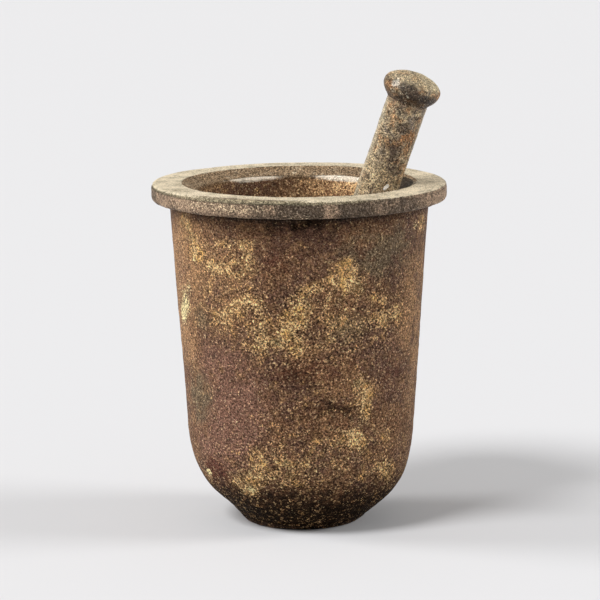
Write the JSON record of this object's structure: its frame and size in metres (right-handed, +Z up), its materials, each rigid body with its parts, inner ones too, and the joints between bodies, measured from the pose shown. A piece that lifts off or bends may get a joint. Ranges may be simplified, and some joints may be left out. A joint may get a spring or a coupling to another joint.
{
  "type": "mortar and pestle",
  "caption": "Deep cast-iron mortar with a broad flat rim and rounded base on a low foot, and a loose cast-iron pestle with a flattened knob leaning in it.",
  "frame": {"origin": "centre of the face the mortar stands on", "axes": "+Z up along the mortar's axis; +X towards the side the pestle leans to; -Y is the front"},
  "size_m": [0.165, 0.165, 0.2552],
  "materials": {
    "mortar_iron": "rusted and pitted, red-brown with ochre crust and dusty rim",
    "pestle_iron": "worn by the hand, grey-brown with fine pale grain and rust spots"
  },
  "bodies": {
    "mortar": {"mortar": "mortar_iron"},
    "pestle": {"pestle": "pestle_iron"}
  },
  "joints": [
    {"name": "pestle_lift", "type": "slide", "parent": "mortar", "child": "pestle", "axis": [0, 0, 1], "range_m": [0, 0.2]}
  ]
}
